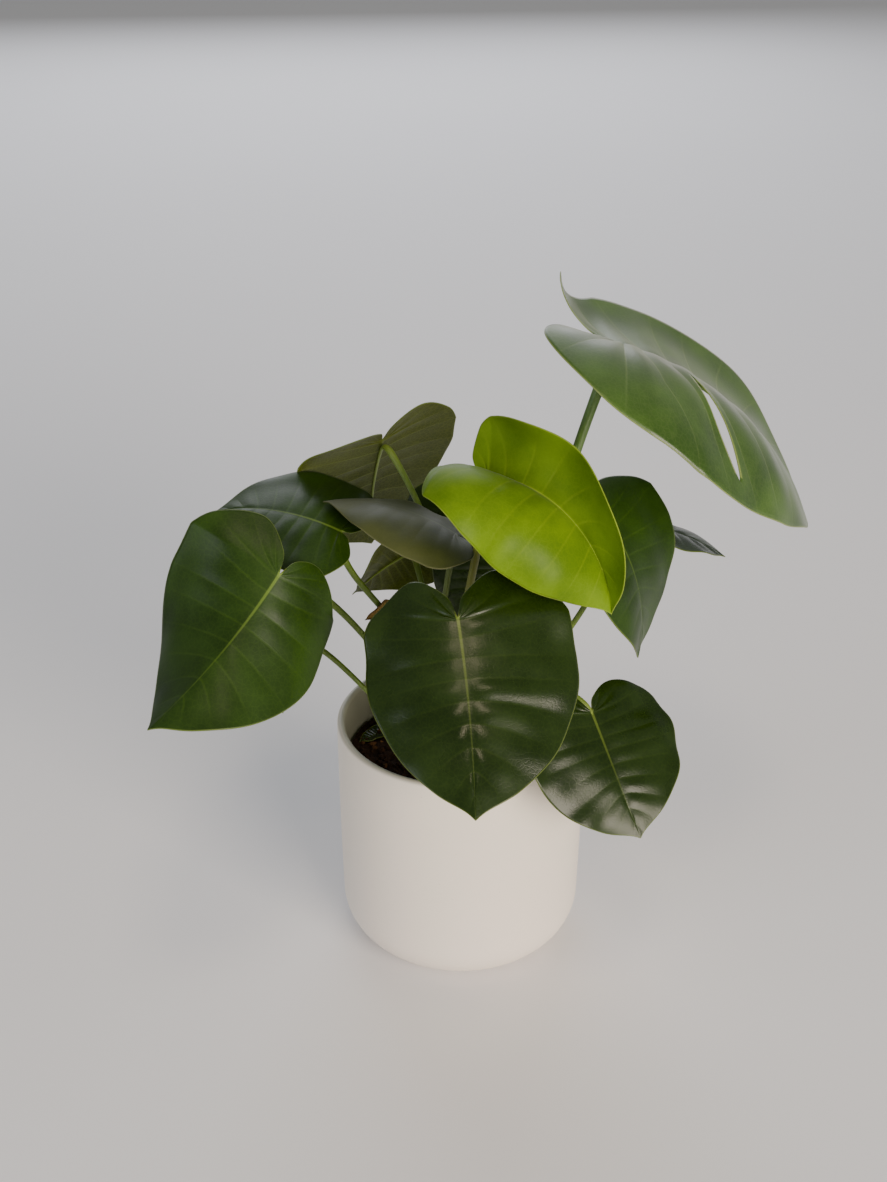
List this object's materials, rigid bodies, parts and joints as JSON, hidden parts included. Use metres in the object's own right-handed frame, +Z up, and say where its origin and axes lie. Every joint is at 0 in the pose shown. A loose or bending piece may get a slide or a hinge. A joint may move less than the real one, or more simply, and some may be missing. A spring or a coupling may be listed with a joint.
{
  "type": "potted monstera plant",
  "caption": "Young monstera with heart-shaped leaves on arching stalks, one leaf slit, growing from soil in a round ceramic cover pot.",
  "frame": {"origin": "centre of the pot's flat base, on the surface that the pot stands on", "axes": "+Z up the pot, -Y towards the viewer of the front leaf, +X to that viewer's right"},
  "size_m": [0.3477, 0.2669, 0.3738],
  "materials": {
    "pot_glaze": "matt off-white glaze",
    "soil": "moist crumbly potting mix",
    "stem": "smooth green stem",
    "stalk": "smooth green leaf stalk",
    "blade": "glossy dark green leaf",
    "young_blade": "glossy lime green young leaf",
    "dried_sheath": "dry papery brown"
  },
  "bodies": {
    "root": {"pot": "pot_glaze", "soil": "soil", "stem_left": "stem", "stem_right": "stem", "stem_front": "stem", "leaf_front": "blade", "stalk_front": "stalk", "leaf_left": "blade", "stalk_left": "stalk", "leaf_upper_left": "blade", "stalk_upper_left": "stalk", "leaf_under_left": "blade", "stalk_under_left": "stalk", "leaf_middle": "blade", "stalk_middle": "stalk", "leaf_back_left": "blade", "stalk_back_left": "stalk", "leaf_low_back": "blade", "stalk_low_back": "stalk", "leaf_rear": "blade", "stalk_rear": "stalk", "leaf_centre": "blade", "stalk_centre": "stalk", "leaf_young": "young_blade", "stalk_young": "stalk", "leaf_top_right": "blade", "stalk_top_right": "stalk", "leaf_right": "blade", "stalk_right": "stalk", "leaf_far_right": "blade", "stalk_far_right": "stalk", "leaf_back_right": "blade", "stalk_back_right": "stalk", "leaf_low_right": "blade", "stalk_low_right": "stalk", "fallen_leaf": "blade", "dried_sheath": "dried_sheath"}
  },
  "joints": []
}
